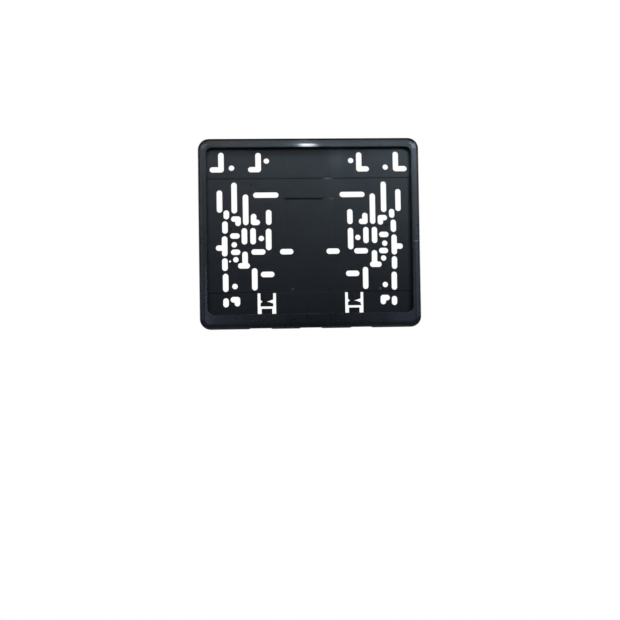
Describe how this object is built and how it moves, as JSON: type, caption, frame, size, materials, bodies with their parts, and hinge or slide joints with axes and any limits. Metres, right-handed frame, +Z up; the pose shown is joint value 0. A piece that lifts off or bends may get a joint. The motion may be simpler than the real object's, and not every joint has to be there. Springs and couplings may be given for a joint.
{
  "type": "number plate holder",
  "caption": "Almost square number plate holder: a slotted back tray with a rounded rim and a clip-on lower frame with a wide bottom rail.",
  "frame": {"origin": "middle of the back plane, which lies against the car", "axes": "+X to the right seen from the front, +Z up, +Y towards the car; the front faces -Y"},
  "size_m": [0.25, 0.013, 0.215],
  "materials": {
    "tray_plastic": "satin black, fine moulded grain",
    "frame_plastic": "satin black, smooth"
  },
  "bodies": {
    "root": {"plate_tray": "tray_plastic", "lower_frame": "frame_plastic"}
  },
  "joints": []
}
